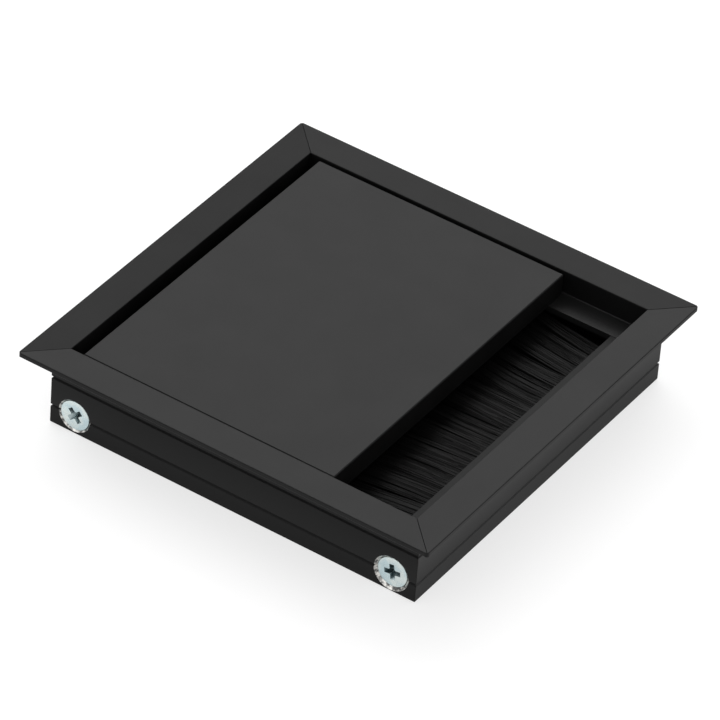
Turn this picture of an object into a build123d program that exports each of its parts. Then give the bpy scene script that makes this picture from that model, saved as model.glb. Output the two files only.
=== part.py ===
# Square desk cable grommet of anodised aluminium: four mitred rails, a loose lid and a strip brush.
# X runs along the front, Y towards the back and Z up; the origin is the middle of the underside.
from build123d import *
from math import cos, radians, sin, sqrt, tan
import os

os.makedirs("parts", exist_ok=True)

# Frame
frame_height = 18.7
flange_size = 100.0
flange_thickness = 1.1
flange_corner_radius = 0.8
body_size = 90.0
wall_thickness = 2.75
profile_corner_radius = 0.2
mitre_gap = 0.05
mitre_edge_break = 0.1

# Lines scored along the outside of each wall
line_width = 0.7
line_depth = 0.55
upper_line_height = 11.7

# Slot along the inside of each wall, and the tongues that push into it
slot_depth = 1.2
tongue_thickness = 1.4
tongue_clearance = 0.05

# Screw port of the extrusion
port_inset = 6.0
port_height = 4.4
port_radius = 2.6
port_bore_radius = 1.45
port_mouth = 1.5
port_web = 2.4

# Corner screws
screw_length = 25.0
screw_core_radius = 1.4
screw_head_radius = 3.5
screw_head_rim = 0.2
screw_neck_radius = 1.75
screw_neck_length = 3.4
screw_tip_length = 3.0
screw_tip_radius = 0.3
recess_span = 3.8
recess_width = 1.15
recess_depth = 1.5
recess_taper = 14.0
screw_hole_radius = 2.0
screw_seat_clearance = 0.02
countersink_angle = 90.0

# Lid, as high as the strips under it leave room for
lid_sink = 0.2
lid_plate = 2.0
lid_skirt = 1.6
lid_rib = 1.4
lid_ribs = 2
lid_left_gap = 2.85
lid_front_gap = 0.3
lid_back_gap = 0.8
lid_edge_break = 0.2
lid_root_radius = 0.5
cable_slot = 20.05

# Strips that the lid lies on
front_rest_width = 4.6
back_rest_width = 5.7
rest_cove = 0.25
rest_end_gap = 0.1

# Brush holder, above the screw port of its rail
holder_port_gap = 0.9
holder_depth = 4.6
holder_height = 5.2
holder_wall = 0.7
holder_lip = 0.6
holder_mouth = 2.9
holder_end_gap = 0.1

# Strip brush
channel_clearance = 0.1
channel_sheet = 0.45
channel_bend_radius = 1.1
channel_mouth = 2.8
wire_radius = 0.5
wire_seat = 1.1
wire_clearance = 0.05
bundle_clearance = 0.05
bristle_reach = 22.0
bristle_end_margin = 1.1
bristle_tip_margin = 0.3
bristle_tip_thickness = 3.0
bristle_droop = 0.3
tuft_pitch = 1.7
tuft_groove = 0.3
tuft_gap_width = 1.0

# Values worked out from the sizes above
body_half = body_size / 2
opening_half = body_half - wall_thickness
port_line = body_half - port_inset
lid_top = frame_height - lid_sink
lid_underside = port_height + port_radius + holder_port_gap + holder_height
lid_height = lid_top - lid_underside
tongue_depth = slot_depth - tongue_clearance
brush_front = front_rest_width + holder_end_gap - opening_half
brush_back = opening_half - back_rest_width - holder_end_gap
brush_length = brush_back - brush_front
up = Vector(0, 0, 1)
outward = {
    "front": Vector(0, -1, 0),
    "back": Vector(0, 1, 0),
    "left": Vector(-1, 0, 0),
    "right": Vector(1, 0, 0),
}

# How deep each corner screw's head lies below the wall, and how far its cross is turned
corner_screws = {
    "front_left": {"wall": "front", "side": -1, "sink": 0.2, "turn": 40.0},
    "front_right": {"wall": "front", "side": 1, "sink": 0.45, "turn": 8.0},
    "back_left": {"wall": "back", "side": -1, "sink": 0.3, "turn": 63.0},
    "back_right": {"wall": "back", "side": 1, "sink": 0.3, "turn": 22.0},
}


def section_plane(side):
    """Plane across a rail: its X is the distance outward from the middle, its Y is the height."""
    return Plane(origin=(0, 0, 0), x_dir=outward[side], z_dir=outward[side].cross(up))


def brush_plane(end_gap=0):
    """Plane across the brush at its back end, facing the front, so that a section is extruded forwards."""
    return section_plane("right").offset(end_gap - brush_back)


def plan_plane(side):
    """Level plane whose X points outward to one side."""
    return Plane(origin=(0, 0, 0), x_dir=outward[side], z_dir=up)


def screw_plane(place):
    """Plane at the middle of a corner screw's hole, on the outside of the wall and facing out."""
    facing = outward[place["wall"]]
    centre = facing * body_half + Vector(place["side"] * port_line, 0, port_height)
    turn = radians(place["turn"])
    return Plane(origin=centre, x_dir=(cos(turn), 0, sin(turn)), z_dir=facing)


def finish_part(part, name):
    """Label a finished piece and write it."""
    part.label = name
    export_step(part, f"parts/{name}.step")


# Cross-section shared by the four rails
with BuildSketch() as rail_section:
    with Locations((opening_half, 0)):
        Rectangle(wall_thickness, frame_height, align=(Align.MIN, Align.MIN))
    with Locations((opening_half, frame_height)):
        Rectangle(flange_size / 2 - opening_half, flange_thickness, align=(Align.MIN, Align.MAX))
    with Locations((port_line, port_height)):
        Circle(port_radius)
        Rectangle(opening_half - port_line, port_web, align=(Align.MIN, Align.CENTER))
        Circle(port_bore_radius, mode=Mode.SUBTRACT)
        Rectangle(port_radius, port_mouth, align=(Align.MAX, Align.CENTER), mode=Mode.SUBTRACT)
    for line_height in (port_height, upper_line_height):
        with BuildLine():
            Polyline(
                (body_half, line_height - line_width / 2),
                (body_half - line_depth, line_height),
                (body_half, line_height + line_width / 2),
                close=True,
            )
        make_face(mode=Mode.SUBTRACT)
    with Locations((opening_half, lid_underside + tongue_clearance)):
        Rectangle(
            slot_depth,
            tongue_thickness + 2 * tongue_clearance,
            align=(Align.MIN, Align.MAX),
            mode=Mode.SUBTRACT,
        )
    levels = rail_section.vertices().group_by(Axis.Y)
    flange_lip = rail_section.vertices().group_by(Axis.X)[-1].sort_by(Axis.Y)[0]
    fillet([*levels[0], *levels[-1], flange_lip], profile_corner_radius)


def make_rail(side):
    """One rail, cut to its mitres, with countersunk holes where corner screws pass through it."""
    flange_half = flange_size / 2
    mitre_apex = mitre_gap / sqrt(2)
    with BuildPart() as mitred_block:
        with BuildSketch(plan_plane(side)):
            with BuildLine():
                Polyline(
                    (mitre_apex, 0),
                    (flange_half, flange_half - mitre_apex),
                    (flange_half, mitre_apex - flange_half),
                    close=True,
                )
            make_face()
            RectangleRounded(flange_size, flange_size, flange_corner_radius, mode=Mode.INTERSECT)
        extrude(amount=frame_height)
        top_edges = mitred_block.faces().sort_by(Axis.Z)[-1].edges().filter_by(GeomType.LINE)
        chamfer(top_edges.sort_by(SortBy.LENGTH)[-2:], length=mitre_edge_break)
    with BuildPart() as rail:
        with BuildSketch(section_plane(side)):
            add(rail_section.sketch)
        extrude(amount=flange_half, both=True)
        add(mitred_block.part, mode=Mode.INTERSECT)
        for place in corner_screws.values():
            if place["wall"] != side:
                continue
            with Locations(screw_plane(place)):
                CounterSinkHole(
                    screw_hole_radius,
                    screw_head_radius + screw_head_rim + place["sink"] + screw_seat_clearance,
                    depth=port_inset + screw_hole_radius,
                    counter_sink_angle=countersink_angle,
                )
    return rail.part


for side in outward:
    finish_part(make_rail(side), f"{side}_rail")

# Countersunk corner screw, drawn with the top of its head on the XY plane
with BuildPart() as screw_form:
    head_cone = (screw_head_radius - screw_neck_radius) / tan(radians(countersink_angle / 2))
    with BuildSketch(Plane.XZ):
        with BuildLine():
            Polyline(
                (0, 0),
                (screw_head_radius, 0),
                (screw_head_radius, -screw_head_rim),
                (screw_neck_radius, -screw_head_rim - head_cone),
                (screw_neck_radius, -screw_neck_length),
                (screw_core_radius, -screw_neck_length),
                (screw_core_radius, screw_tip_length - screw_length),
                (screw_tip_radius, -screw_length),
                (0, -screw_length),
                close=True,
            )
        make_face()
    revolve(axis=Axis.Z)
    with BuildSketch():
        Rectangle(recess_span, recess_width)
        Rectangle(recess_width, recess_span)
    extrude(amount=-recess_depth, taper=recess_taper, mode=Mode.SUBTRACT)

for corner, place in corner_screws.items():
    with BuildPart() as corner_screw:
        with Locations(screw_plane(place).offset(-place["sink"])):
            add(screw_form.part)
    finish_part(corner_screw.part, f"{corner}_screw")

# Lid: an extruded panel with a skirt along each side and ribs between them
lid_left = lid_left_gap - opening_half
lid_right = opening_half - cable_slot
lid_depth = 2 * opening_half - lid_front_gap - lid_back_gap
bay_width = (lid_right - lid_left - 2 * lid_skirt - lid_ribs * lid_rib) / (lid_ribs + 1)
with BuildPart() as lid:
    with BuildSketch(Plane.XZ.offset(opening_half - lid_front_gap)) as lid_section:
        with Locations((lid_left, lid_underside)):
            Rectangle(lid_right - lid_left, lid_height, align=(Align.MIN, Align.MIN))
        for bay in range(lid_ribs + 1):
            bay_left = lid_left + lid_skirt + bay * (bay_width + lid_rib)
            with Locations((bay_left, lid_underside)):
                Rectangle(
                    bay_width,
                    lid_height - lid_plate,
                    align=(Align.MIN, Align.MIN),
                    mode=Mode.SUBTRACT,
                )
        rib_roots = lid_section.vertices().group_by(Axis.Y)[1]
        fillet(rib_roots, lid_root_radius)
    extrude(amount=-lid_depth)
    chamfer(lid.faces().sort_by(Axis.Z)[-1].edges(), length=lid_edge_break)
finish_part(lid.part, "lid")

# Strips that the lid lies on, each with a tongue in its rail's slot and a small cove against the wall
rest_underside = lid_underside - tongue_thickness
for side, rest_width in (("front", front_rest_width), ("back", back_rest_width)):
    with BuildPart() as lid_rest:
        with BuildSketch(section_plane(side)):
            with BuildLine():
                Polyline(
                    (opening_half - rest_cove, lid_underside),
                    (opening_half - rest_width, lid_underside),
                    (opening_half - rest_width, rest_underside),
                    (opening_half + tongue_depth, rest_underside),
                    (opening_half + tongue_depth, lid_underside),
                    (opening_half, lid_underside),
                    (opening_half, lid_underside + rest_cove),
                )
                RadiusArc(
                    (opening_half, lid_underside + rest_cove),
                    (opening_half - rest_cove, lid_underside),
                    rest_cove,
                )
            make_face()
        extrude(amount=opening_half - rest_end_gap, both=True)
    finish_part(lid_rest.part, f"{side}_lid_rest")

# Brush holder: a channel whose tongue pushes into the right rail's slot
holder_middle = lid_underside - holder_height / 2
cavity_depth = holder_depth - holder_lip - holder_wall
cavity_height = holder_height - 2 * holder_wall
with BuildPart() as brush_holder:
    with BuildSketch(brush_plane()):
        with Locations((opening_half, lid_underside)):
            Rectangle(holder_depth, holder_height, align=(Align.MAX, Align.MAX))
            Rectangle(tongue_depth, tongue_thickness, align=(Align.MIN, Align.MAX))
        with Locations((opening_half - holder_wall, holder_middle)):
            Rectangle(cavity_depth, cavity_height, align=(Align.MAX, Align.CENTER), mode=Mode.SUBTRACT)
            Rectangle(holder_depth, holder_mouth, align=(Align.MAX, Align.CENTER), mode=Mode.SUBTRACT)
    extrude(amount=brush_length)
finish_part(brush_holder.part, "brush_holder")

# Folded channel of the strip brush, crimped towards its mouth
channel_back = opening_half - holder_wall - channel_clearance
channel_front = opening_half - holder_depth + holder_lip + channel_clearance
channel_half = cavity_height / 2 - channel_clearance


def channel_outline(inset):
    """Outline of the folded channel, moved in by a distance, closed at its mouth."""
    back = channel_back - inset
    front = channel_front
    with BuildSketch() as outline:
        with BuildLine():
            Polyline(
                (front, holder_middle + channel_mouth / 2 - inset),
                (back, holder_middle + channel_half - inset),
                (back, holder_middle - channel_half + inset),
                (front, holder_middle - channel_mouth / 2 + inset),
                close=True,
            )
        make_face()
        fillet(outline.vertices().group_by(Axis.X)[-1], channel_bend_radius - inset)
    return outline.sketch


with BuildPart() as brush_channel:
    with BuildSketch(brush_plane()):
        add(channel_outline(0))
        add(channel_outline(channel_sheet), mode=Mode.SUBTRACT)
    extrude(amount=brush_length)
finish_part(brush_channel.part, "brush_channel")

# Core wire that the bristles are folded round
bundle_inset = channel_sheet + bundle_clearance
wire_line = channel_back - bundle_inset - wire_seat
with BuildPart() as brush_wire:
    with BuildSketch(brush_plane()):
        with Locations((wire_line, holder_middle)):
            Circle(wire_radius)
    extrude(amount=brush_length)
finish_part(brush_wire.part, "brush_wire")

# Bristles: a folded bundle in the channel that spreads into ridged tufts towards its tips
root_thickness = channel_mouth - 2 * bundle_inset
brush_middle = (brush_front + brush_back) / 2
root_length = brush_length - 2 * bristle_end_margin
tip_length = brush_length - 2 * bristle_tip_margin
tuft_count = round(root_length / tuft_pitch)
tip_line = channel_front - bristle_reach


def ridged_outline(length, thickness, droop):
    """Points round a flat bundle with one ridge for each tuft, as (place along Y, height)."""
    pitch = length / tuft_count
    first = brush_middle - length / 2
    middle = holder_middle - droop
    upper = []
    for tuft in range(tuft_count):
        start = first + tuft * pitch
        upper.append((start, middle + thickness / 2 - tuft_groove))
        upper.append((start + pitch / 2, middle + thickness / 2))
    upper.append((first + length, middle + thickness / 2 - tuft_groove))
    lower = [(place, 2 * middle - height) for place, height in reversed(upper)]
    return upper + lower


with BuildPart() as brush_bristles:
    for distance, length, thickness, droop in (
        (channel_front, root_length, root_thickness, 0),
        (tip_line, tip_length, bristle_tip_thickness, bristle_droop),
    ):
        with BuildSketch(Plane.YZ.offset(distance)):
            with BuildLine():
                Polyline(*ridged_outline(length, thickness, droop), close=True)
            make_face()
    loft(ruled=True)
    with BuildSketch(brush_plane(bristle_end_margin)):
        add(channel_outline(bundle_inset))
        with Locations((wire_line, holder_middle)):
            Circle(wire_radius + wire_clearance, mode=Mode.SUBTRACT)
    extrude(amount=root_length)
    with BuildSketch(Plane.XY.offset(lid_underside)):
        for tuft in range(2, tuft_count - 1, 3):
            place = brush_middle + (tuft / tuft_count - 0.5) * tip_length
            gap_length = bristle_reach * (0.5 + 0.3 * sin(tuft * 2.4))
            with BuildLine():
                Polyline(
                    (tip_line, place - tuft_gap_width / 2),
                    (tip_line + gap_length, place),
                    (tip_line, place + tuft_gap_width / 2),
                    close=True,
                )
            make_face()
    extrude(amount=-holder_height, mode=Mode.SUBTRACT)
finish_part(brush_bristles.part, "brush_bristles")
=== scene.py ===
"""Looks of a square desk cable grommet: black anodised rails and lid, zinc screws and a strip brush.

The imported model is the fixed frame. Lengths are in metres, X along the front, Y to the back, Z up.
"""

import math
import random
from types import SimpleNamespace

import bmesh
import bpy
from mathutils import Matrix, Vector


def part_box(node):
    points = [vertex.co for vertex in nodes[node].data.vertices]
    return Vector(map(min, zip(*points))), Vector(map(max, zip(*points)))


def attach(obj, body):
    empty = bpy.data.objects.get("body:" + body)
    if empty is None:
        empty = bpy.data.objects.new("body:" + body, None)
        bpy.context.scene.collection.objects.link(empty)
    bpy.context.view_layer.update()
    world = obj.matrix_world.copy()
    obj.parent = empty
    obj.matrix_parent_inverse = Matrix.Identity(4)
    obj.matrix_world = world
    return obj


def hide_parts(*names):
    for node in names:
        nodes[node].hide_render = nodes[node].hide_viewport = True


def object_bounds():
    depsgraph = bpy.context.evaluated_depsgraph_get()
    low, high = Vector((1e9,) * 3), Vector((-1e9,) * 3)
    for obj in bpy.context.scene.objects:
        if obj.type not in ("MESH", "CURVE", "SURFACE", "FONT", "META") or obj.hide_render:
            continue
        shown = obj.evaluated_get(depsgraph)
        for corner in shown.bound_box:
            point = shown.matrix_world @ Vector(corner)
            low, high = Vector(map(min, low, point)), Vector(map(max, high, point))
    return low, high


MM = 0.001

# Camera, worked out from the corners of the flange in the photograph
VIEW_AZIMUTH = 31.73
VIEW_ELEVATION = 38.80
VIEW_ROLL = 4.49
VIEW_DISTANCE = 1.2537
VIEW_LENS = 309.6
VIEW_SENSOR = 36.0
VIEW_TARGET_X = 0.00542
VIEW_TARGET_Y = -0.00857

# Soft panel behind the object
KEY_AZIMUTH = 227.0
KEY_ELEVATION = 41.0
KEY_DISTANCE = 1.6
KEY_WIDTH = 2.2
KEY_HEIGHT = 1.0
KEY_RADIANCE = 2.5

# Room: its light on matt surfaces, and what shows in it by the height of a direction, from 0 to 1
ROOM_LEVEL = 0.8
HORIZON_LEVEL = 1.0
HORIZON_TOP = 0.14
CEILING_LEVEL = 0.2
CEILING_START = 0.4
RING_LEVEL = 1.6
RING_RISE = (0.40, 0.50)
RING_FALL = (0.78, 0.88)

# Floor
FLOOR_GLOW = 0.665
FLOOR_COLOUR = 0.40
FLOOR_HALF = 3.0
FLOOR_DROP = 0.05 * MM
DARK_FLOOR_MARGIN = 1.5 * MM

# Black anodised skin: gloss, shades of grey, and the etched grain with its die lines
# Gloss of the rails: one finish, set higher or lower on each rail to paint it lighter or darker
RAIL_GLOSS_AND_PAINTED_SHADE = {"front": 0.157, "back": 0.116, "left": 0.098, "right": 0.159}
LID_SHINE = 0.150
HOLDER_SHINE = 0.105
REST_SHINE = 0.22
SKIN_TONE = (0.0032, 0.006)
REST_TONE = (0.007, 0.009)
SKIN_ROUGHNESS = (0.46, 0.52)
CLOUD_SCALE = 90.0
GRAIN_SCALE = 9000.0
DIE_LINE_SCALE = 3500.0
DIE_LINE_RUN = 3.0
SKIN_BUMP = 0.12
SKIN_RELIEF = 0.02 * MM
SKIN = 0.02 * MM

# Outside of the walls: where the scored lines are, and the painted light and shade at each height and in
# the lines
LOWER_LINE = 4.4 * MM
UPPER_LINE = 11.7 * MM
LINE_DEPTH = 0.6 * MM
LINE_HALF = 0.5 * MM
SIDE_WALL_PAINTED_LIGHT = {
    "foot": 0.0,
    "under_lower_line": 0.003,
    "over_lower_line": 0.0,
    "upper_line": 0.036,
    "groove": 0.034,
}
FRONT_WALL_PAINTED_LIGHT = {
    "foot": 0.0,
    "under_lower_line": 0.002,
    "over_lower_line": 0.009,
    "upper_line": 0.0,
    "groove": 0.012,
}

# Bare metal, where a hole is cut through the skin
BARE_METAL = (0.68, 0.67, 0.64, 1)
BARE_STAIN = (0.10, 0.10, 0.10, 1)
BARE_SCALE = 1200.0
BARE_ROUGHNESS = 0.30
BARE_DEPTH = 2.6 * MM

# Plated steel: pale shade, stained shade and roughness of each plating
PLATINGS = {
    "galvanised_strip": ((0.55, 0.56, 0.57, 1), (0.42, 0.43, 0.45, 1), 0.42),
    "core_wire": ((0.50, 0.50, 0.50, 1), (0.40, 0.40, 0.41, 1), 0.38),
    "zinc_plating": ((0.67, 0.74, 0.73, 1), (0.53, 0.65, 0.68, 1), 0.27),
    # The cross recess's plating is darker than the head's, which paints the shade in the recess
    "recess_plating_painted_shade": ((0.46, 0.54, 0.55, 1), (0.11, 0.15, 0.16, 1), 0.42),
}
PLATE_SCALE = 420.0
POLISH_SCALE = 1800.0
SMOOTHER = 0.05
DULLER = 0.07
PLATE_BUMP = 0.08
PLATE_RELIEF = 0.03 * MM

# Hairline of black sheet in the mitres, painted shade that hides the light through the gap, set in from
# the wall's outer corner and the flange's
SHADE_SHEET_INNER_INSET = 2.44 * MM
SHADE_SHEET_OUTER_INSET = 1.24 * MM
SHADE_SHEET_FLANGE_INSET = 0.4 * MM
SHADE_SHEET_THICKNESS = 0.04 * MM
SHADE_SHEET_FOOT = 0.3 * MM
SHADE_SHEET_TOP_GAP = 0.25 * MM
SHADE_SHEET_LIP = 0.95 * MM

# Brush filaments, folded round the core wire
BRUSH_SEED = 11
STRANDS = 2450
STRAND_RADIUS = 0.09 * MM
STRAND_CORNERS = 3
TIP_TAPER = 0.6
LEG_STEPS = 4
LEAN_BEND = 1.3
FAN_BEND = 2
FOLD_DIRECTIONS = ((0, 1), (0.8, 0.6), (0.8, -0.6), (0, -1))
FOLD_DEPTH = 0.42 * MM
BUNDLE_HALF = 0.78 * MM
FAN_HALF = 1.35 * MM
FAN_DROOP = 0.35 * MM
EDGE_THINNING = 0.3
SAG = 0.15 * MM
SAG_SCATTER = 0.06 * MM
TIP_SCATTER = 0.12 * MM
WAVE_SCATTER = 0.10 * MM
TIP_SHORTFALL = 1.1 * MM
ROOT_MARGIN = 2.2 * MM
TIP_SPREAD = 1.04
TIP_OVERHANG = 0.8 * MM
FILAMENT_TONE = (0.001, 0.005)
FILAMENT_ROUGHNESS = 0.30
FILAMENT_SHINE = 0.050
SHADE_SCATTER = 0.25

# Tufts of the brush and the finer wisps in them: how many, and how much each may differ
TUFTS = {
    "count": 13,
    "uneven": 0.35,
    "pinch": (0.80, 0.90),
    "lean": 0.45 * MM,
    "lift": 0.2 * MM,
    "sag": 0.25 * MM,
}
WISPS = {
    "count": 62,
    "uneven": 0.55,
    "pinch": (0.45, 0.75),
    "lean": 0.2 * MM,
    "lift": 0.18 * MM,
    "sag": 0.18 * MM,
}

# Screws, with the turn of each cross recess in degrees
SCREW_TURNS = {
    "front_left_screw": 40.0,
    "front_right_screw": 8.0,
    "back_left_screw": 63.0,
    "back_right_screw": 22.0,
}
HEAD_RIM = 0.2 * MM
HEAD_ROUND = 0.12 * MM
NECK_RADIUS = 1.75 * MM
NECK_LENGTH = 3.4 * MM
CORE_RADIUS = 1.4 * MM
TIP_RADIUS = 0.3 * MM
TIP_LENGTH = 3.0 * MM
TURNED_STEPS = 64
THREAD_PITCH = 1.35 * MM
THREAD_HALF_WIDTH = 0.28 * MM
THREAD_ROOT = 0.08 * MM
THREAD_STEPS = 24
RECESS_SPAN = 3.8 * MM
RECESS_WIDTH = 1.15 * MM
RECESS_DEPTH = 1.5 * MM
RECESS_FLOOR_SPAN = 2.1 * MM
RECESS_FLOOR_WIDTH = 0.7 * MM
RECESS_PASS = 0.3 * MM
RECESS_ROUND = 0.05 * MM
PIT_RADIUS = 0.95 * MM
PIT_DEPTH = 2.1 * MM
PIT_FLOOR = 0.1
SEAT_CLEARANCE = 0.02 * MM
SHARP_ANGLE = 35.0
MERGE_DISTANCE = 0.001 * MM


def direction(azimuth, elevation):
    """Unit vector towards a place round the object: azimuth 0 is the front and 90 the right."""
    turn = math.radians(azimuth)
    rise = math.radians(elevation)
    return Vector(
        (math.sin(turn) * math.cos(rise), -math.cos(turn) * math.cos(rise), math.sin(rise))
    )


def linked_object(name, data):
    """New object, added to the scene."""
    piece = bpy.data.objects.new(name, data)
    bpy.context.collection.objects.link(piece)
    return piece


def make_camera(target_height):
    """Camera at the photograph's viewing angle."""
    back = direction(VIEW_AZIMUTH, VIEW_ELEVATION)
    level = Vector((0, 0, 1)).cross(back).normalized()
    upright = back.cross(level)
    roll = math.radians(VIEW_ROLL)
    right = math.cos(roll) * level + math.sin(roll) * upright
    top = -math.sin(roll) * level + math.cos(roll) * upright
    lens = bpy.data.cameras.new("photo_camera")
    lens.sensor_width = VIEW_SENSOR
    lens.lens = VIEW_LENS
    camera = linked_object("photo_camera", lens)
    axes = Matrix((right, top, back)).transposed().to_4x4()
    target = Vector((VIEW_TARGET_X, VIEW_TARGET_Y, target_height))
    camera.matrix_world = Matrix.Translation(target + back * VIEW_DISTANCE) @ axes
    bpy.context.scene.camera = camera


def node_maker(tree):
    """Function that adds a node to a tree, with its settings and its inputs' values or links.

    An input is given by its name, with _ for a space, or as in0, in1 and so on by its place.
    """

    def add(kind, settings=None, **inputs):
        node = tree.nodes.new(kind)
        for name, value in (settings or {}).items():
            setattr(node, name, value)
        for name, value in inputs.items():
            numbered = name.startswith("in") and name[2:].isdigit()
            socket = node.inputs[int(name[2:]) if numbered else name.replace("_", " ")]
            if isinstance(value, bpy.types.NodeSocket):
                tree.links.new(value, socket)
            else:
                socket.default_value = value
        return node

    return add


def calculate(add, operation, first, second=0.0):
    """Result of one sum on two values."""
    return add("ShaderNodeMath", {"operation": operation}, in0=first, in1=second).outputs[0]


def spread(add, value, low, high, start=0.3, end=0.7):
    """Even step from low to high while a value runs from start to end. A noise needs no limits."""
    return add(
        "ShaderNodeMapRange", in0=value, From_Min=start, From_Max=end, To_Min=low, To_Max=high
    ).outputs[0]


def eased(add, value, limits, low, high):
    """Smooth step from low to high while a value runs between its limits."""
    return add(
        "ShaderNodeMapRange",
        {"interpolation_type": "SMOOTHSTEP"},
        in0=value,
        From_Min=limits[0],
        From_Max=limits[1],
        To_Min=low,
        To_Max=high,
    ).outputs[0]


def grey(add, value):
    """Colour with the same red, green and blue."""
    return add("ShaderNodeCombineColor", in0=value, in1=value, in2=value).outputs[0]


def mottled(add, place, scale, pale, stained):
    """Colour that changes between two shades in soft patches."""
    patches = add("ShaderNodeTexNoise", Vector=place, Scale=scale, Detail=2.0)
    share = spread(add, patches.outputs[0], 0.0, 1.0, 0.4, 0.6)
    return add("ShaderNodeMix", {"data_type": "RGBA"}, in0=share, in6=pale, in7=stained).outputs[2]


def new_material(name):
    """Empty node material: its node maker and a function that finishes it with a shader."""
    material = bpy.data.materials.new(name)
    material.use_nodes = True
    tree = material.node_tree
    tree.nodes.clear()
    add = node_maker(tree)

    def finish(shader):
        output = add("ShaderNodeOutputMaterial")
        tree.links.new(shader.outputs[0], output.inputs["Surface"])
        return material

    return add, finish


def set_material(piece, material):
    """The material of a piece, in place of those that it came with."""
    piece.data.materials.clear()
    piece.data.materials.append(material)


def seen_directly(add):
    """Value of 1 for camera, glossy and transmission rays, and 0 for the others."""
    path = add("ShaderNodeLightPath")
    seen = calculate(add, "MAXIMUM", path.outputs["Is Camera Ray"], path.outputs["Is Glossy Ray"])
    return calculate(add, "MAXIMUM", seen, path.outputs["Is Transmission Ray"])


def make_floor(dark_half):
    """Pale floor that keeps a soft shadow, is dark inside the body and clear from below."""
    shape = bmesh.new()
    bmesh.ops.create_grid(shape, x_segments=1, y_segments=1, size=FLOOR_HALF)
    bmesh.ops.translate(shape, vec=(0, 0, -FLOOR_DROP), verts=shape.verts)
    floor = piece_from(shape, "floor")
    add, finish = new_material("pale_floor")
    place = add("ShaderNodeTexCoord").outputs["Object"]
    axes = add("ShaderNodeSeparateXYZ", Vector=place)
    from_middle = [calculate(add, "ABSOLUTE", axes.outputs[axis]) for axis in ("X", "Y")]
    outside = calculate(add, "GREATER_THAN", calculate(add, "MAXIMUM", *from_middle), dark_half)
    open_floor = calculate(add, "MULTIPLY", outside, FLOOR_GLOW)
    glow = calculate(add, "MULTIPLY", seen_directly(add), open_floor)
    shine = add("ShaderNodeEmission", Color=(1, 1, 1, 1), Strength=glow)
    matte = add("ShaderNodeBsdfDiffuse", Color=(FLOOR_COLOUR,) * 3 + (1,))
    both = add("ShaderNodeAddShader", in0=shine.outputs[0], in1=matte.outputs[0])
    clear = add("ShaderNodeBsdfTransparent")
    side = add("ShaderNodeNewGeometry")
    surface = add(
        "ShaderNodeMixShader",
        in0=side.outputs["Backfacing"],
        in1=both.outputs[0],
        in2=clear.outputs[0],
    )
    set_material(floor, finish(surface))


def make_soft_panel():
    """Wide soft lamp that lights the object from behind."""
    back = direction(KEY_AZIMUTH, KEY_ELEVATION)
    panel = bpy.data.lights.new("soft_panel", "AREA")
    panel.shape = "RECTANGLE"
    panel.size = KEY_WIDTH
    panel.size_y = KEY_HEIGHT
    panel.energy = KEY_RADIANCE * math.pi * KEY_WIDTH * KEY_HEIGHT
    lamp = linked_object("soft_panel", panel)
    lamp.location = back * KEY_DISTANCE
    lamp.rotation_euler = back.to_track_quat("Z", "Y").to_euler()


def make_room():
    """Room with even light, in which a white foot, a ring of light and a dim top show."""
    world = bpy.data.worlds.new("even_sky")
    world.use_nodes = True
    world.node_tree.nodes.clear()
    add = node_maker(world.node_tree)
    heading = add("ShaderNodeTexCoord").outputs["Generated"]
    height = add("ShaderNodeSeparateXYZ", Vector=heading).outputs["Z"]
    foot = eased(add, height, (HORIZON_TOP, CEILING_START), HORIZON_LEVEL, CEILING_LEVEL)
    ring = calculate(
        add,
        "MULTIPLY",
        eased(add, height, RING_RISE, 0.0, RING_LEVEL - CEILING_LEVEL),
        eased(add, height, RING_FALL, 1.0, 0.0),
    )
    shown = calculate(add, "ADD", foot, ring)
    level = spread(add, seen_directly(add), ROOM_LEVEL, shown, 0.0, 1.0)
    sky = add("ShaderNodeBackground", Color=(1, 1, 1, 1), Strength=level)
    output = add("ShaderNodeOutputWorld")
    world.node_tree.links.new(sky.outputs[0], output.inputs["Surface"])
    bpy.context.scene.world = world


def piece_from(shape, name):
    """Object with its place in its mesh, made from a bmesh."""
    mesh = bpy.data.meshes.new(name)
    shape.to_mesh(mesh)
    shape.free()
    return linked_object(name, mesh)


def smooth_piece(mesh):
    """Object with its place in its mesh, shaded smooth."""
    for polygon in mesh.polygons:
        polygon.use_smooth = True
    return linked_object(mesh.name, mesh)


def finished_mesh(piece, name):
    """Mesh of a piece as its modifiers or its curve settings leave it. The piece is used up."""
    bpy.context.view_layer.update()
    mesh = bpy.data.meshes.new_from_object(piece.evaluated_get(bpy.context.evaluated_depsgraph_get()))
    mesh.name = name
    bpy.data.objects.remove(piece)
    return mesh


def wall_reach(rail, height):
    """Distance from the middle of the object to the outside of its front wall, below a height."""
    return -min(vertex.co.y for vertex in rail.data.vertices if vertex.co.z < height)


def screw_hole(name, wall):
    """Middle and rim of the countersunk hole that a screw sits in, in a wall that far out."""
    low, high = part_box(name)
    head_radius = (high.x - low.x) / 2
    sink = wall - max(abs(low.y), abs(high.y))
    return {
        "middle": ((low.x + high.x) / 2, 0, (low.z + high.z) / 2),
        "radius": head_radius + HEAD_RIM + sink + SEAT_CLEARANCE,
    }


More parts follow.
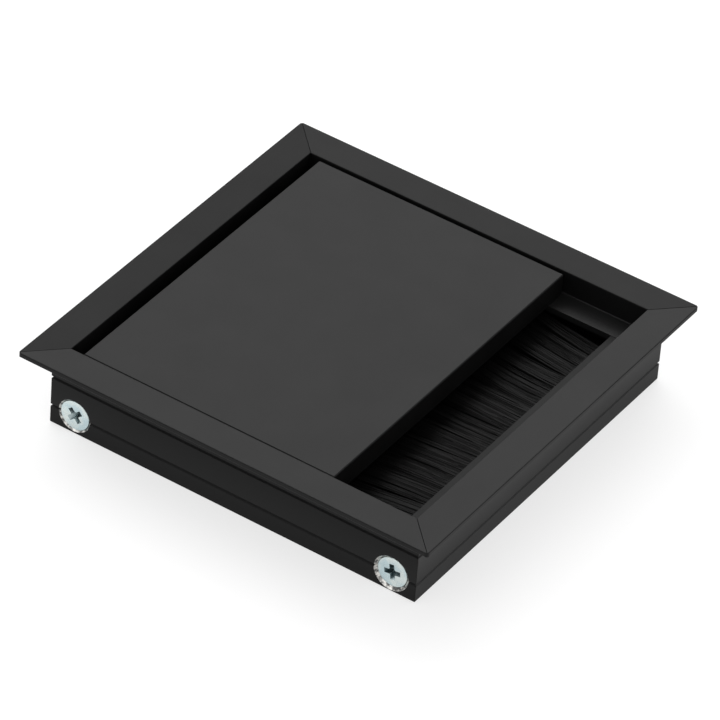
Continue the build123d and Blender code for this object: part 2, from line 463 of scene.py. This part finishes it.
def bare_holes(add, place, holes, wall):
    """Value of 1 inside the holes, which are cut through the black skin, and 0 on the rest."""
    axes = add("ShaderNodeSeparateXYZ", Vector=place)
    depth = calculate(add, "ABSOLUTE", axes.outputs["Y"])
    under_skin = calculate(add, "LESS_THAN", depth, wall - SKIN)
    in_wall = calculate(add, "GREATER_THAN", depth, wall - BARE_DEPTH)
    inside = calculate(add, "MULTIPLY", under_skin, in_wall)
    level = add("ShaderNodeVectorMath", {"operation": "MULTIPLY"}, in0=place, in1=(1, 0, 1))
    near = 0.0
    for hole in holes:
        reach = add(
            "ShaderNodeVectorMath",
            {"operation": "DISTANCE"},
            in0=level.outputs[0],
            in1=hole["middle"],
        )
        within = calculate(add, "LESS_THAN", reach.outputs["Value"], hole["radius"])
        near = calculate(add, "MAXIMUM", within, near)
    return calculate(add, "MULTIPLY", near, inside)


def painted_wall_light(add, place, along, wall, plain):
    """Shade of a rail: even, but with painted light and shade down the outside of its wall between the
    scored lines, and painted light in the lines.
    """
    facing, tones = ("Y", FRONT_WALL_PAINTED_LIGHT) if along == 0 else ("X", SIDE_WALL_PAINTED_LIGHT)
    axes = add("ShaderNodeSeparateXYZ", Vector=place)
    height = axes.outputs["Z"]
    # Painted light and shade by height, starting again at the lower scored line
    upper = spread(add, height, tones["over_lower_line"], tones["upper_line"], LOWER_LINE, UPPER_LINE)
    lower = spread(add, height, tones["foot"], tones["under_lower_line"], 0.0, LOWER_LINE)
    zone = calculate(add, "GREATER_THAN", height, LOWER_LINE)
    outside = spread(add, zone, lower, upper, 0.0, 1.0)
    depth = calculate(add, "ABSOLUTE", axes.outputs[facing])
    low = calculate(add, "LESS_THAN", height, UPPER_LINE + LINE_HALF)
    # Painted light in the grooves of the scored lines, then the painted shade on the wall's outside
    for start, end, tone in (
        (wall - LINE_DEPTH, wall - SKIN, tones["groove"]),
        (wall - SKIN, wall + SKIN, outside),
    ):
        past_start = calculate(add, "GREATER_THAN", depth, start)
        before_end = calculate(add, "LESS_THAN", depth, end)
        between = calculate(add, "MULTIPLY", calculate(add, "MULTIPLY", past_start, before_end), low)
        plain = spread(add, between, plain, tone, 0.0, 1.0)
    return plain


def etched_bump(add, place, grain, along):
    """Bump of the etched grain, with faint die lines along an extrusion."""
    height = grain
    if along is not None:
        scales = [DIE_LINE_SCALE] * 3
        scales[along] = DIE_LINE_RUN
        stretched = add("ShaderNodeMapping", Vector=place, Scale=scales)
        lines = add("ShaderNodeTexNoise", Vector=stretched.outputs[0], Scale=1.0, Detail=4.0)
        height = calculate(add, "ADD", grain, lines.outputs[0])
    return add("ShaderNodeBump", Strength=SKIN_BUMP, Distance=SKIN_RELIEF, Height=height).outputs[0]


def anodised(name, along=None, shine=LID_SHINE, tones=SKIN_TONE, wall=None, holes=()):
    """Black anodised aluminium, extruded along an axis, with bare metal in the holes cut into it, and
    painted light and shade on a rail's walls.
    """
    add, finish = new_material(name)
    place = add("ShaderNodeTexCoord").outputs["Object"]
    grain = add("ShaderNodeTexNoise", Vector=place, Scale=GRAIN_SCALE, Detail=3.0, Roughness=0.6)
    cloud = add("ShaderNodeTexNoise", Vector=place, Scale=CLOUD_SCALE, Detail=3.0, Roughness=0.5)
    tone = spread(add, cloud.outputs[0], *tones)
    if wall is not None:
        # Painted light and shade on the outside of a rail's walls
        tone = painted_wall_light(add, place, along, wall, tone)
    skin = add(
        "ShaderNodeBsdfPrincipled",
        Base_Color=grey(add, tone),
        Roughness=spread(add, grain.outputs[0], *SKIN_ROUGHNESS),
        Specular_IOR_Level=shine,
        Normal=etched_bump(add, place, grain.outputs[0], along),
    )
    if not holes:
        return finish(skin)
    bare = add(
        "ShaderNodeBsdfPrincipled",
        Base_Color=mottled(add, place, BARE_SCALE, BARE_METAL, BARE_STAIN),
        Metallic=1.0,
        Roughness=BARE_ROUGHNESS,
    )
    return finish(
        add(
            "ShaderNodeMixShader",
            in0=bare_holes(add, place, holes, wall),
            in1=skin.outputs[0],
            in2=bare.outputs[0],
        )
    )


def plated(name):
    """Plated steel: two close shades in soft patches over a slightly uneven polish."""
    pale, stained, dullness = PLATINGS[name]
    add, finish = new_material(name)
    place = add("ShaderNodeTexCoord").outputs["Object"]
    polish = add("ShaderNodeTexNoise", Vector=place, Scale=POLISH_SCALE, Detail=3.0)
    bump = add(
        "ShaderNodeBump", Strength=PLATE_BUMP, Distance=PLATE_RELIEF, Height=polish.outputs[0]
    )
    return finish(
        add(
            "ShaderNodeBsdfPrincipled",
            Base_Color=mottled(add, place, PLATE_SCALE, pale, stained),
            Metallic=1.0,
            Roughness=spread(add, polish.outputs[0], dullness - SMOOTHER, dullness + DULLER),
            Normal=bump.outputs[0],
        )
    )


def filament(name):
    """Black nylon brush filament, each with a shade of its own."""
    add, finish = new_material(name)
    shade = add("ShaderNodeAttribute", {"attribute_name": "strand_shade"})
    return finish(
        add(
            "ShaderNodeBsdfPrincipled",
            Base_Color=grey(add, spread(add, shade.outputs["Fac"], *FILAMENT_TONE, 0.0, 1.0)),
            Roughness=FILAMENT_ROUGHNESS,
            Specular_IOR_Level=FILAMENT_SHINE,
        )
    )


def finish_frame(nodes, wall):
    """Finishes of the pieces that keep the form of their solids, with painted light and shade on the
    rails.
    """
    for side, along in (("front", 0), ("back", 0), ("left", 1), ("right", 1)):
        holes = [screw_hole(name, wall) for name in SCREW_TURNS if name.startswith(side)]
        # Each rail's gloss differs, which paints light and shade on it
        skin = anodised(f"anodised_{side}_rail", along, RAIL_GLOSS_AND_PAINTED_SHADE[side], wall=wall, holes=holes)
        set_material(nodes[f"{side}_rail"], skin)
    for side in ("front", "back"):
        skin = anodised(f"anodised_{side}_strip", 0, REST_SHINE, tones=REST_TONE)
        set_material(nodes[f"{side}_lid_rest"], skin)
    set_material(nodes["brush_holder"], anodised("anodised_holder", 1, HOLDER_SHINE))
    set_material(nodes["lid"], anodised("anodised_lid", 1))
    set_material(nodes["brush_channel"], plated("galvanised_strip"))
    set_material(nodes["brush_wire"], plated("core_wire"))


def turned_solid(outline):
    """Closed solid turned about Z from half its outline, given as (radius, height) from axis to axis."""
    shape = bmesh.new()
    corners = [shape.verts.new((radius, 0, height)) for radius, height in outline]
    edges = [shape.edges.new(pair) for pair in zip(corners, corners[1:])]
    bmesh.ops.spin(
        shape,
        geom=corners + edges,
        cent=(0, 0, 0),
        axis=(0, 0, 1),
        angle=math.tau,
        steps=TURNED_STEPS,
        use_merge=True,
    )
    bmesh.ops.remove_doubles(shape, verts=shape.verts, dist=MERGE_DISTANCE)
    bmesh.ops.recalc_face_normals(shape, faces=shape.faces)
    return shape


def screw_blank(head_radius, length):
    """Screw without its recess and thread, drawn with the top of its head on the XY plane."""
    shape = turned_solid(
        [
            (0, 0),
            (head_radius, 0),
            (head_radius, -HEAD_RIM),
            (NECK_RADIUS, NECK_RADIUS - head_radius - HEAD_RIM),
            (NECK_RADIUS, -NECK_LENGTH),
            (CORE_RADIUS, -NECK_LENGTH),
            (CORE_RADIUS, TIP_LENGTH - length),
            (TIP_RADIUS, -length),
            (0, -length),
        ]
    )
    outer = [vert for vert in shape.verts if vert.co.z > -SKIN and vert.co.xy.length > PIT_RADIUS]
    rim = [edge for edge in shape.edges if edge.verts[0] in outer and edge.verts[1] in outer]
    bmesh.ops.bevel(
        shape, geom=rim, offset=HEAD_ROUND, segments=4, profile=0.5, affect="EDGES", material=-1
    )
    return piece_from(shape, "screw_blank")


def recess_wedge(turn):
    """Wedge that cuts two opposite arms of a cross recess, drawn past the face of the head."""
    shape = bmesh.new()
    bmesh.ops.create_cube(shape, size=1)
    for vert in shape.verts:
        depth = RECESS_DEPTH if vert.co.z < 0 else -RECESS_PASS
        share = depth / RECESS_DEPTH
        vert.co.x *= RECESS_SPAN + (RECESS_FLOOR_SPAN - RECESS_SPAN) * share
        vert.co.y *= RECESS_WIDTH + (RECESS_FLOOR_WIDTH - RECESS_WIDTH) * share
        vert.co.z = -depth
    bmesh.ops.rotate(shape, cent=(0, 0, 0), matrix=Matrix.Rotation(turn, 3, "Z"), verts=shape.verts)
    return shape


def recess_pit():
    """Cone that cuts the middle of a cross recess, drawn past the face of the head."""
    shape = bmesh.new()
    bmesh.ops.create_cone(
        shape,
        cap_ends=True,
        segments=TURNED_STEPS // 2,
        radius1=PIT_RADIUS * PIT_FLOOR,
        radius2=PIT_RADIUS * (1 + RECESS_PASS / PIT_DEPTH),
        depth=PIT_DEPTH + RECESS_PASS,
    )
    bmesh.ops.translate(shape, vec=(0, 0, (RECESS_PASS - PIT_DEPTH) / 2), verts=shape.verts)
    return shape


def recessed_mesh(blank, recess_plating_painted_shade, name):
    """Mesh of a screw with a cross recess cut into its head, in a darker plating that paints the
    recess's shade.
    """
    cutters = [
        piece_from(cutter, "recess_cutter")
        for cutter in (recess_wedge(0), recess_wedge(math.pi / 2), recess_pit())
    ]
    for cutter in cutters:
        set_material(cutter, recess_plating_painted_shade)
        cut = blank.modifiers.new("recess", "BOOLEAN")
        cut.operation = "DIFFERENCE"
        cut.solver = "EXACT"
        cut.material_mode = "TRANSFER"
        cut.object = cutter
    mesh = finished_mesh(blank, name)
    for cutter in cutters:
        bpy.data.objects.remove(cutter)
    return mesh


def round_recess(shape):
    """Rounding round the mouth of a cross recess, where its darker plating, painted shade, meets the
    head's.
    """
    bmesh.ops.remove_doubles(shape, verts=shape.verts, dist=MERGE_DISTANCE)
    mouth = [
        edge
        for edge in shape.edges
        if len({face.material_index for face in edge.link_faces}) == 2
    ]
    bmesh.ops.bevel(
        shape, geom=mouth, offset=RECESS_ROUND, segments=2, profile=0.5, affect="EDGES", material=-1
    )


def add_thread(shape, length):
    """Ridge wound round a screw's core from near its tip to its neck, thinning over the point."""
    start = THREAD_PITCH - length
    turns = (-NECK_LENGTH - start) / THREAD_PITCH
    steps = round(turns * THREAD_STEPS)
    corners = (
        (CORE_RADIUS - THREAD_ROOT, -THREAD_HALF_WIDTH),
        (NECK_RADIUS, 0),
        (CORE_RADIUS - THREAD_ROOT, THREAD_HALF_WIDTH),
    )
    before = set(shape.verts)
    ridge = shape.faces.new([shape.verts.new((radius, 0, start + rise)) for radius, rise in corners])
    bmesh.ops.spin(
        shape,
        geom=[ridge, *ridge.edges, *ridge.verts],
        cent=(0, 0, 0),
        axis=(0, 0, 1),
        dvec=(0, 0, THREAD_PITCH * turns / steps),
        angle=turns * math.tau,
        steps=steps,
    )
    wound = [vert for vert in shape.verts if vert not in before]
    for vert in wound:
        into_tip = max(0, TIP_LENGTH - length - vert.co.z) / TIP_LENGTH
        radius = vert.co.xy.length
        vert.co.xy *= (radius - into_tip * (CORE_RADIUS - TIP_RADIUS)) / radius
    faces = {face for vert in wound for face in vert.link_faces}
    bmesh.ops.recalc_face_normals(shape, faces=list(faces))


def make_screw(name, plating, recess_plating_painted_shade):
    """Countersunk screw with a rounded rim, a cross recess and a thread, in place of the plain one."""
    low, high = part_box(name)
    length = high.y - low.y
    blank = screw_blank((high.x - low.x) / 2, length)
    set_material(blank, plating)
    mesh = recessed_mesh(blank, recess_plating_painted_shade, name.replace("_screw", "_threaded_screw"))
    shape = bmesh.new()
    shape.from_mesh(mesh)
    round_recess(shape)
    add_thread(shape, length)
    facing = Vector((0, math.copysign(1, low.y + high.y), 0))
    turn = math.radians(SCREW_TURNS[name])
    across = Vector((math.cos(turn), 0, math.sin(turn)))
    axes = Matrix((across, facing.cross(across), facing)).transposed().to_4x4()
    head = (low + high) / 2 + facing * length / 2
    bmesh.ops.transform(shape, matrix=Matrix.Translation(head) @ axes, verts=shape.verts)
    shape.to_mesh(mesh)
    shape.free()
    screw = smooth_piece(mesh)
    mesh.set_sharp_from_angle(angle=math.radians(SHARP_ANGLE))
    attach(screw, "root")
    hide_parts(name)


def make_mitre_shade_sheets(wall, corner):
    """Hairline of black sheet in each of the four mitres: painted shade, which keeps light from showing
    through.
    """
    wall_corner = wall * math.sqrt(2)
    inner = wall_corner - SHADE_SHEET_INNER_INSET
    outer = wall_corner - SHADE_SHEET_OUTER_INSET
    reach = corner.x * math.sqrt(2) - SHADE_SHEET_FLANGE_INSET
    lip = corner.z - SHADE_SHEET_LIP
    roof = corner.z - SHADE_SHEET_TOP_GAP
    outline = (
        (inner, SHADE_SHEET_FOOT),
        (outer, SHADE_SHEET_FOOT),
        (outer, lip),
        (reach, lip),
        (reach, roof),
        (inner, roof),
    )
    shade_sheets = bmesh.new()
    for turn in range(4):
        side = shade_sheets.faces.new([shade_sheets.verts.new((out, -SHADE_SHEET_THICKNESS / 2, up)) for out, up in outline])
        grown = bmesh.ops.extrude_face_region(shade_sheets, geom=[side])["geom"]
        far = [part for part in grown if isinstance(part, bmesh.types.BMVert)]
        bmesh.ops.translate(shade_sheets, vec=(0, SHADE_SHEET_THICKNESS, 0), verts=far)
        spin = Matrix.Rotation(math.radians(45 + 90 * turn), 3, "Z")
        bmesh.ops.rotate(shade_sheets, cent=(0, 0, 0), matrix=spin, verts=[*side.verts, *far])
    bmesh.ops.recalc_face_normals(shade_sheets, faces=shade_sheets.faces)
    piece = piece_from(shade_sheets, "mitre_shade_sheets")
    # Black sheet in the mitre gaps, as painted shade
    set_material(piece, anodised("mitre_sealant"))
    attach(piece, "root")


def make_groups(rng, count, uneven, pinch, lean, lift, sag):
    """Groups of filaments along the brush, each drawn together, leaning and lying in its own way."""
    widths = [rng.uniform(1 - uneven, 1 + uneven) for _ in range(count)]
    groups = []
    first = 0.0
    for width in widths:
        last = first + width / sum(widths)
        groups.append(
            SimpleNamespace(
                middle=(first + last) / 2,
                last=last,
                half=(last - first) / 2,
                pinch=rng.uniform(*pinch),
                lean=rng.uniform(-lean, lean),
                lift=rng.uniform(-lift, lift),
                sag=rng.uniform(-sag, sag),
            )
        )
        first = last
    return groups


def group_at(groups, share):
    """Group that a share of the brush's length falls in."""
    return next((group for group in groups if share <= group.last), groups[-1])


def drawn_together(share, group):
    """Share of the brush's length that a filament's tip is drawn to by its group."""
    return group.middle + (share - group.middle) * group.pinch


def held_between(low, value, high):
    """A value, or the limit that it passes."""
    return min(max(value, low), high)


def brush_bed():
    """Where the filaments lie: the bristle solid's corners, the channel's mouth and the core wire."""
    low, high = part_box("brush_bristles")
    wire_low, wire_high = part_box("brush_wire")
    return SimpleNamespace(
        low=low,
        high=high,
        mouth=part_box("brush_channel")[0].x,
        wire=(wire_low + wire_high) / 2,
        wire_radius=(wire_high.z - wire_low.z) / 2,
    )


def bent_leg(root, tip, wave, sag):
    """Points of a filament from the channel's mouth to its tip, waving sideways and sagging."""
    leg = []
    for step in range(LEG_STEPS + 1):
        along = step / LEG_STEPS
        bow = math.sin(math.pi * along)
        leg.append(
            (
                root[0] + (tip[0] - root[0]) * along,
                root[1] + (tip[1] - root[1]) * along**LEAN_BEND + wave * bow,
                root[2] + (tip[2] - root[2]) * along**FAN_BEND - sag * bow,
            )
        )
    return leg


def strand_points(rng, share, tuft, wisp, bed):
    """Middle line of one filament, folded round the core wire, from one tip to the other."""
    low, high, wire = bed.low, bed.high, bed.wire
    root_y = low.y + ROOT_MARGIN + (high.y - low.y - 2 * ROOT_MARGIN) * share
    drawn = drawn_together(drawn_together(share, wisp), tuft)
    rest_y = low.y + (high.y - low.y) * (0.5 + (drawn - 0.5) * TIP_SPREAD)
    crown = 1 - EDGE_THINNING * abs((share - tuft.middle) / tuft.half) ** 3
    layer = math.sqrt(rng.random())
    sag = SAG + tuft.sag + wisp.sag + rng.gauss(0, SAG_SCATTER)
    legs = []
    for side in (1, -1):
        level = side * layer * crown
        tip_y = rest_y + tuft.lean + wisp.lean + rng.gauss(0, TIP_SCATTER)
        tip_z = wire.z - FAN_DROOP + level * FAN_HALF + tuft.lift + wisp.lift
        root = (bed.mouth, root_y, wire.z + level * BUNDLE_HALF)
        tip = (
            low.x + rng.uniform(0, TIP_SHORTFALL),
            held_between(low.y - TIP_OVERHANG, tip_y, high.y + TIP_OVERHANG),
            held_between(low.z + STRAND_RADIUS, tip_z, high.z - STRAND_RADIUS),
        )
        legs.append(bent_leg(root, tip, rng.gauss(0, WAVE_SCATTER), sag))
    ring = bed.wire_radius + STRAND_RADIUS + layer * FOLD_DEPTH
    fold = [
        (wire.x + across * ring, root_y, wire.z + rise * ring) for across, rise in FOLD_DIRECTIONS
    ]
    return [*reversed(legs[0]), *fold, *legs[1]]


def filament_section():
    """Small outline that the filaments are swept from."""
    section = bpy.data.curves.new("filament_section", "CURVE")
    section.dimensions = "2D"
    ring = section.splines.new("POLY")
    ring.points.add(STRAND_CORNERS - 1)
    for corner, spot in enumerate(ring.points):
        turn = math.tau * corner / STRAND_CORNERS
        spot.co = (STRAND_RADIUS * math.cos(turn), STRAND_RADIUS * math.sin(turn), 0, 1)
    ring.use_cyclic_u = True
    return linked_object("filament_section", section)


def add_strand(curve, points):
    """One filament in the brush's curve, thinner at both tips."""
    spline = curve.splines.new("POLY")
    spline.points.add(len(points) - 1)
    for spot, point in zip(spline.points, points):
        spot.co = (*point, 1)
    for spot in (spline.points[0], spline.points[-1]):
        spot.radius = TIP_TAPER


def make_brush():
    """Filaments folded round the core wire, fanning out in tufts and wisps towards their tips."""
    rng = random.Random(BRUSH_SEED)
    bed = brush_bed()
    tufts = make_groups(rng, **TUFTS)
    wisps = make_groups(rng, **WISPS)
    curve = bpy.data.curves.new("brush_line", "CURVE")
    curve.dimensions = "3D"
    shades = []
    for number in range(STRANDS):
        share = (number + rng.random()) / STRANDS
        add_strand(
            curve, strand_points(rng, share, group_at(tufts, share), group_at(wisps, share), bed)
        )
        shades.append(held_between(0, rng.gauss(0.5, SHADE_SCATTER), 1))
    section = filament_section()
    curve.bevel_mode = "OBJECT"
    curve.bevel_object = section
    curve.use_fill_caps = True
    mesh = finished_mesh(linked_object("brush_line", curve), "brush_filaments")
    bpy.data.objects.remove(section)
    attribute = mesh.attributes.new("strand_shade", "FLOAT", "POINT")
    per_strand = len(mesh.vertices) // STRANDS
    attribute.data.foreach_set("value", [shade for shade in shades for _ in range(per_strand)])
    brush = smooth_piece(mesh)
    set_material(brush, filament("brush_filament"))
    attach(brush, "root")
    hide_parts("brush_bristles")


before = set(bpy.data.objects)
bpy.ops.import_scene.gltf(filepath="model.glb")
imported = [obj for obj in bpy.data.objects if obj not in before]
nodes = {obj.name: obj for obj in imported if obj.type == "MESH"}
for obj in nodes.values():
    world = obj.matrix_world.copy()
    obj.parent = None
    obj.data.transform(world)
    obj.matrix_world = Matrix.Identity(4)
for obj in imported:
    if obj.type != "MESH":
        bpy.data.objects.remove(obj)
cad_low, cad_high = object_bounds()
wall = wall_reach(nodes["front_rail"], cad_high.z / 2)

make_camera(cad_high.z)
make_floor(wall - DARK_FLOOR_MARGIN)
make_soft_panel()
make_room()
finish_frame(nodes, wall)
plating = plated("zinc_plating")
# Darker plating in the cross recesses, as painted shade
recess_plating_painted_shade = plated("recess_plating_painted_shade")
for name in SCREW_TURNS:
    make_screw(name, plating, recess_plating_painted_shade)
make_mitre_shade_sheets(wall, cad_high)
make_brush()

bpy.context.scene.view_settings.view_transform = "Standard"
